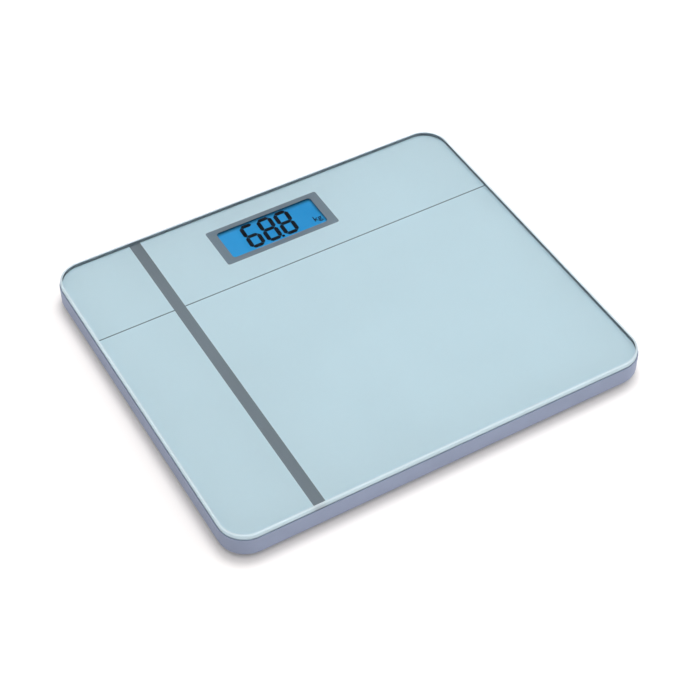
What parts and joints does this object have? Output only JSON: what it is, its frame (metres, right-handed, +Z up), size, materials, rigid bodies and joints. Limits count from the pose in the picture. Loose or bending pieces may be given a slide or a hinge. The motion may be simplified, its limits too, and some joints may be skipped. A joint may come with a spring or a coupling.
{
  "type": "digital bathroom scale",
  "caption": "Digital bathroom scale: glass platform on a shallow tray with four sprung feet, a recessed display and a battery door.",
  "frame": {"origin": "floor level under the middle of the platform", "axes": "+Z up, +Y away from the user towards the display, +X to the user's right"},
  "size_m": [0.304, 0.264, 0.021],
  "materials": {
    "clear_glass": "polished, ground edge",
    "back_print": "screen print behind the glass",
    "tray_plastic": "satin lavender grey",
    "lcd": "blue, lit from behind",
    "backlight": "diffuser",
    "holder_plastic": "moulded",
    "cup_plastic": "moulded",
    "pad_rubber": "matt",
    "key_rubber": "matt",
    "steel": "zinc plated",
    "nickel": "nickel plated",
    "silicone": "potting",
    "foam": "foam tape",
    "board": "solder mask",
    "epoxy": "black",
    "elastomer": "silicone",
    "battery": "printed sleeve",
    "cable": "PVC",
    "red_lead": "PVC",
    "black_lead": "PVC"
  },
  "bodies": {
    "body": {"tray": "tray_plastic", "glass_platform": "clear_glass", "back_print": "back_print", "tape_front": "foam", "tape_back": "foam", "tape_left": "foam", "tape_right": "foam", "tape_front_left": "foam", "tape_front_right": "foam", "tape_back_left": "foam", "tape_back_right": "foam", "lcd_panel": "lcd", "backlight": "backlight", "lcd_holder": "holder_plastic", "zebra_strip": "elastomer", "circuit_board": "board", "controller_chip": "epoxy", "board_screw_1": "steel", "board_screw_2": "steel", "board_screw_3": "steel", "board_screw_4": "steel", "unit_switch": "epoxy", "battery_1": "battery", "battery_2": "battery", "contact_positive": "nickel", "contact_negative": "nickel", "contact_bridge": "nickel", "sensor_cable_front_left": "cable", "sensor_cable_front_right": "cable", "sensor_cable_back_left": "cable", "sensor_cable_back_right": "cable", "battery_lead_positive": "red_lead", "battery_lead_negative": "black_lead"},
    "battery_door": {"battery_door": "tray_plastic"},
    "unit_button": {"unit_button": "key_rubber"},
    "foot_front_left": {"foot_cup_front_left": "cup_plastic", "foot_pad_front_left": "pad_rubber", "load_cell_front_left": "steel", "strain_gauge_front_left": "silicone"},
    "foot_front_right": {"foot_cup_front_right": "cup_plastic", "foot_pad_front_right": "pad_rubber", "load_cell_front_right": "steel", "strain_gauge_front_right": "silicone"},
    "foot_back_left": {"foot_cup_back_left": "cup_plastic", "foot_pad_back_left": "pad_rubber", "load_cell_back_left": "steel", "strain_gauge_back_left": "silicone"},
    "foot_back_right": {"foot_cup_back_right": "cup_plastic", "foot_pad_back_right": "pad_rubber", "load_cell_back_right": "steel", "strain_gauge_back_right": "silicone"}
  },
  "joints": [
    {"name": "foot_front_left_travel", "type": "slide", "parent": "body", "child": "foot_front_left", "axis": [0, 0, 1], "range_m": [0, 0.0005], "stiffness_N_per_m": 1500, "springref_m": -0.0027},
    {"name": "foot_front_right_travel", "type": "slide", "parent": "body", "child": "foot_front_right", "axis": [0, 0, 1], "range_m": [0, 0.0005], "stiffness_N_per_m": 1500, "springref_m": -0.0027},
    {"name": "foot_back_left_travel", "type": "slide", "parent": "body", "child": "foot_back_left", "axis": [0, 0, 1], "range_m": [0, 0.0005], "stiffness_N_per_m": 1500, "springref_m": -0.0027},
    {"name": "foot_back_right_travel", "type": "slide", "parent": "body", "child": "foot_back_right", "axis": [0, 0, 1], "range_m": [0, 0.0005], "stiffness_N_per_m": 1500, "springref_m": -0.0027},
    {"name": "battery_door_swing", "type": "hinge", "parent": "body", "child": "battery_door", "pos_m": [-0.0267, 0.035, 0.0014], "axis": [0, 1, 0], "range_deg": [0, 75]},
    {"name": "unit_button_press", "type": "slide", "parent": "body", "child": "unit_button", "axis": [0, 0, 1], "range_m": [0, 0.0004], "stiffness_N_per_m": 2500}
  ]
}
